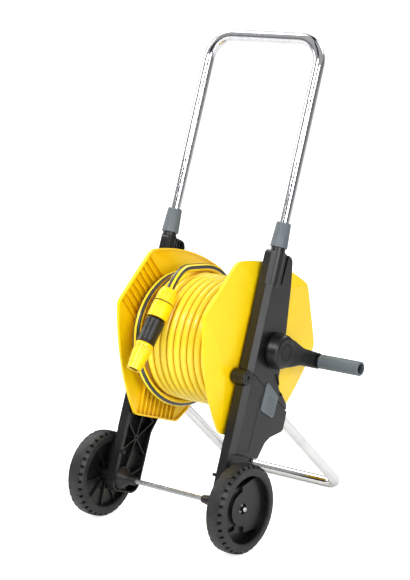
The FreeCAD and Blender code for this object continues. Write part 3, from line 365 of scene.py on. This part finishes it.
def plated_metal(name, dark, light, smooth, dull, streak_mm):
    material, tree = new_material(name)
    where = add(tree, "ShaderNodeTexCoord").outputs["Object"]
    stretched = add(tree, "ShaderNodeMapping", {"Vector": where, "Scale": STREAK_SHAPE})
    streak = add(tree, "ShaderNodeTexNoise", {
        "Vector": stretched.outputs["Vector"], "Scale": 1.0 / (streak_mm * MM), "Detail": 3.0})
    shade = ramp(tree, streak.outputs["Fac"], [(0.3, colour(dark)), (0.7, colour(light))])
    gloss = add(tree, "ShaderNodeMapRange", {
        "Value": streak.outputs["Fac"], "From Min": 0.3, "From Max": 0.7,
        "To Min": smooth, "To Max": dull})
    finish(tree, add(tree, "ShaderNodeBsdfPrincipled", {
        "Base Color": shade, "Metallic": 1.0, "Roughness": gloss.outputs["Result"]}))
    return material


chrome = plated_metal("chromed_steel_tube", "D6D8DB", "E6E7E9", 0.07, 0.13, 6.0)
zinc = plated_metal("zinc_plated_steel", "A9ADB0", "C6C9CB", 0.24, 0.38, 4.0)
print("metals:", chrome.name, "and", zinc.name)

# %% [markdown]
# ## Hose skin
# The hose is extruded soft PVC, yellow and glossy, with two grey lines printed straight along
# it, each with a thin dark edge. The curve's own UV says where a point is round the hose, so
# the lines stay on it wherever it goes. The IOR is 1.53, and a faint ripple about a
# centimetre long breaks the highlights, as soft PVC is never quite smooth.


# %% Hose skin
PVC = "FFE338"
LINE_EDGE, LINE = "0C0D0E", "40474D"
LINE_WIDTH, LINE_GAP, LINE_RIM = 6.2, 4.8, 1.0    # in mm round the hose
ROUND = math.pi * HOSE / MM       # the whole way round, in mm
SHARP, SOFT = 0.004, 0.006        # how quickly the colours change, as a share of the round


def line_stops(middle):
    """Ramp stops of one printed line: black edge, grey, black edge."""
    half, rim = LINE_WIDTH / 2 / ROUND, LINE_RIM / ROUND
    return [(middle - half - SHARP, PVC), (middle - half, LINE_EDGE),
            (middle - half + rim, LINE_EDGE), (middle - half + rim + SOFT, LINE),
            (middle + half - rim - SOFT, LINE), (middle + half - rim, LINE_EDGE),
            (middle + half, LINE_EDGE), (middle + half + SHARP, PVC)]


def printed_hose(name):
    material, tree = new_material(name)
    place = add(tree, "ShaderNodeTexCoord")
    round_it = add(tree, "ShaderNodeSeparateXYZ", {"Vector": place.outputs["UV"]}).outputs["Y"]
    off_middle = (LINE_WIDTH + LINE_GAP) / 2 / ROUND
    stops = line_stops(PRINT_MIDDLE - off_middle) + line_stops(PRINT_MIDDLE + off_middle)
    printed = ramp(tree, round_it, [(at, colour(shade)) for at, shade in stops])
    # Painted shade where the turns of the hose lie against each other.
    printed = painted_corner_shade(tree, printed, "D89A00")
    where = place.outputs["Object"]
    ripple = add(tree, "ShaderNodeTexNoise", {"Vector": where, "Scale": 90.0, "Detail": 2.0})
    bump = add(tree, "ShaderNodeBump", {
        "Height": ripple.outputs["Fac"], "Distance": 0.15 * MM, "Strength": 0.4})
    finish(tree, add(tree, "ShaderNodeBsdfPrincipled", {
        "Base Color": printed, "Roughness": 0.24, "IOR": 1.53,
        "Normal": bump.outputs["Normal"]}))
    return material


hose.data.materials.append(printed_hose("extruded_pvc_hose"))
print("hose skin:", hose.data.materials[0].name)

# %% [markdown]
# ## A finish for every part
# The record says which material each CAD part is moulded or bent from, so the finishes are
# handed out by that. The hose has its own skin already.

# %% Finish of every CAD part
FINISHES = {
    "black_plastic": black_pp, "yellow_plastic": yellow_pp, "grey_plastic": grey_pp,
    "chromed_tube": chrome, "zinc_steel": zinc, "tyre_plastic": tyre_pe}
for part in frame["record"]["subparts"]:
    skin = FINISHES.get(part["material_slot"])
    if skin is None:
        continue
    node = frame["nodes"][part["node"]]
    for slot in node.material_slots:
        slot.material = skin
    if not node.material_slots:
        node.data.materials.append(skin)
print("finished", len(frame["nodes"]), "parts")

# %% [markdown]
# ## Painted shade in the hose end
# The gap between the hose nut and the coupling and the bore of the nozzle's mouth lie in deep
# shade, so a black ring and a black disc are put there as painted shade, placed along the
# fitting's own axis.

# %% Painted shade in the hose end
FITTING_TOP = Vector((-27.3, 48.3, 435.4)) * MM
FITTING_END = Vector((-29.6, -53.1, 312.7)) * MM
FITTING_WAY = (FITTING_END - FITTING_TOP).normalized()
NUT_END, MOUTH = 25.5, 155.0      # where the two pieces of painted shade sit, in mm from the fitting's top
FACETS = 48


def turned_piece(name, outline, start, skin, body):
    """A piece turned on a lathe round the fitting's axis; outline is (along, radius) in mm."""
    middle = FITTING_TOP + FITTING_WAY * start * MM
    side = FITTING_WAY.orthogonal().normalized()
    other = FITTING_WAY.cross(side)
    verts = []
    for along, radius in outline:
        for i in range(FACETS):
            angle = 2 * math.pi * i / FACETS
            verts.append(middle + FITTING_WAY * along * MM + (
                side * math.cos(angle) + other * math.sin(angle)) * radius * MM)
    faces = []
    for row in range(len(outline)):
        here, ahead = row * FACETS, (row + 1) % len(outline) * FACETS
        for i in range(FACETS):
            j = (i + 1) % FACETS
            faces.append((here + i, here + j, ahead + j, ahead + i))
    shape = bpy.data.meshes.new(name)
    shape.from_pydata(verts, [], faces)
    shape.update()
    piece = bpy.data.objects.new(name, shape)
    shape.materials.append(skin)
    bpy.context.scene.collection.objects.link(piece)
    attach(piece, body)
    print(name, "rides", body)


# A black ring in the nut's gap and a black disc in the nozzle's bore: painted shade.
turned_piece("nut_gap_painted_shade", [(0.2, 14.6), (0.2, 15.9), (1.0, 16.4), (1.9, 15.9), (1.9, 14.6)],
             NUT_END, black_pp, "drum")
turned_piece("nozzle_bore_painted_shade", [(0.0, 4.6), (0.0, 8.4), (1.5, 8.4), (1.5, 6.2), (0.6, 4.6)],
             MOUTH, black_pp, "nozzle_tip")

# %% [markdown]
# ## Floor
# White paper that runs on to the horizon, as on a lit table: it glows for the camera, so it
# stays white far from the lamps, but that glow doesn't light the cart from below.

# %% Floor
FLOOR = 60.0                      # half its side, in metres
GLOW = 0.7
floor_mesh = bpy.data.meshes.new("studio_floor")
floor_mesh.from_pydata([(-FLOOR, -FLOOR, 0), (FLOOR, -FLOOR, 0), (FLOOR, FLOOR, 0),
                        (-FLOOR, FLOOR, 0)], [], [(0, 1, 2, 3)])
floor = bpy.data.objects.new("studio_floor", floor_mesh)
bpy.context.scene.collection.objects.link(floor)
paper, paper_tree = new_material("studio_paper")
paper_seen = add(paper_tree, "ShaderNodeLightPath").outputs["Is Camera Ray"]
table_glow = add(paper_tree, "ShaderNodeMath", {0: paper_seen, 1: GLOW}, operation="MULTIPLY")
finish(paper_tree, add(paper_tree, "ShaderNodeBsdfPrincipled", {
    "Base Color": colour("F6F6F6"), "Roughness": 0.9, "Emission Color": colour("FFFFFF"),
    "Emission Strength": table_glow.outputs["Value"]}))
floor_mesh.materials.append(paper)
print("floor is", 2 * FLOOR, "m across")

# %% [markdown]
# ## Lamps
# Five soft boxes, all aimed at the cart. The key stands on the crank side, a little in front,
# so the sides of the legs get more of it than their fronts. The front lamp is high and
# small, for crisp lines of light on the turns of the hose. The left, top and rim lamps are
# weaker: they open the shadows and give the tubes something bright to reflect.


# %% Lights
def soft_light(name, place, size, watts):
    """A rectangular area lamp aimed at the middle of the cart."""
    lamp = bpy.data.lights.new(name, "AREA")
    lamp.shape = "RECTANGLE"
    lamp.size, lamp.size_y = size
    lamp.energy = watts
    holder = bpy.data.objects.new(name, lamp)
    holder.location = place
    holder.rotation_euler = (AIM - Vector(place)).to_track_quat("-Z", "Y").to_euler()
    bpy.context.scene.collection.objects.link(holder)
    print(name, watts, "W")


soft_light("key_light", (2.6, -1.3, 1.5), (1.2, 1.2), 52)
soft_light("front_light", (0.2, -2.8, 2.9), (0.8, 0.8), 84)
soft_light("left_light", (-2.4, -0.2, 1.5), (0.8, 1.4), 18)
soft_light("top_light", (-1.7, 0.9, 2.7), (1.5, 1.5), 30)
soft_light("rim_light", (0.6, 2.6, 2.2), (1.6, 1.0), 24)

# %% [markdown]
# ## Dome
# Chrome shows only what stands round it. The dome is bright above and greyer at the horizon,
# with two dark flags: a photographer hangs black cloth in the same places to draw the dark
# lines along a shiny tube. The camera itself sees one even tone above the horizon.

# %% World
DOME_STRENGTH = 0.5
LIT, FRONT_FLAG, REAR_FLAG = colour("FFFFFF"), colour("303030"), colour("3A3A3A")
world = bpy.data.worlds.new("studio_dome")
world.use_nodes = True
dome = world.node_tree
dome.nodes.clear()
direction = add(dome, "ShaderNodeTexCoord").outputs["Generated"]
way = add(dome, "ShaderNodeSeparateXYZ", {"Vector": direction})
sky = ramp(dome, way.outputs["Z"], [(0.0, colour("8C8C8C")), (0.12, colour("A8A8A8")),
                                    (0.35, colour("F2F2F2")), (1.0, colour("FFFFFF"))])
round_about = add(dome, "ShaderNodeMath", {0: way.outputs["X"], 1: way.outputs["Y"]},
                  operation="ARCTAN2")
share = add(dome, "ShaderNodeMapRange", {
    "Value": round_about.outputs["Value"], "From Min": -math.pi, "From Max": math.pi})
flags = ramp(dome, share.outputs["Result"], [
    (0.0, FRONT_FLAG), (0.03, FRONT_FLAG), (0.06, LIT), (0.41, LIT), (0.44, REAR_FLAG),
    (0.53, REAR_FLAG), (0.56, LIT), (0.90, LIT), (0.93, FRONT_FLAG)])
studio = add(dome, "ShaderNodeMix", {"Factor": 1.0}, data_type="RGBA", blend_type="MULTIPLY")
dome.links.new(sky, studio.inputs["A"])
dome.links.new(flags, studio.inputs["B"])
dome_seen = add(dome, "ShaderNodeLightPath").outputs["Is Camera Ray"]
backdrop = add(dome, "ShaderNodeMix", {"Factor": dome_seen}, data_type="RGBA")
dome.links.new(studio.outputs["Result"], backdrop.inputs["A"])
backdrop.inputs["B"].default_value = LIT
shine = add(dome, "ShaderNodeBackground", {"Strength": DOME_STRENGTH})
dome.links.new(backdrop.outputs["Result"], shine.inputs["Color"])
add(dome, "ShaderNodeOutputWorld", {"Surface": shine.outputs["Background"]})
bpy.context.scene.world = world
bpy.context.scene.view_settings.view_transform = "Standard"
print("dome nodes:", len(dome.nodes))
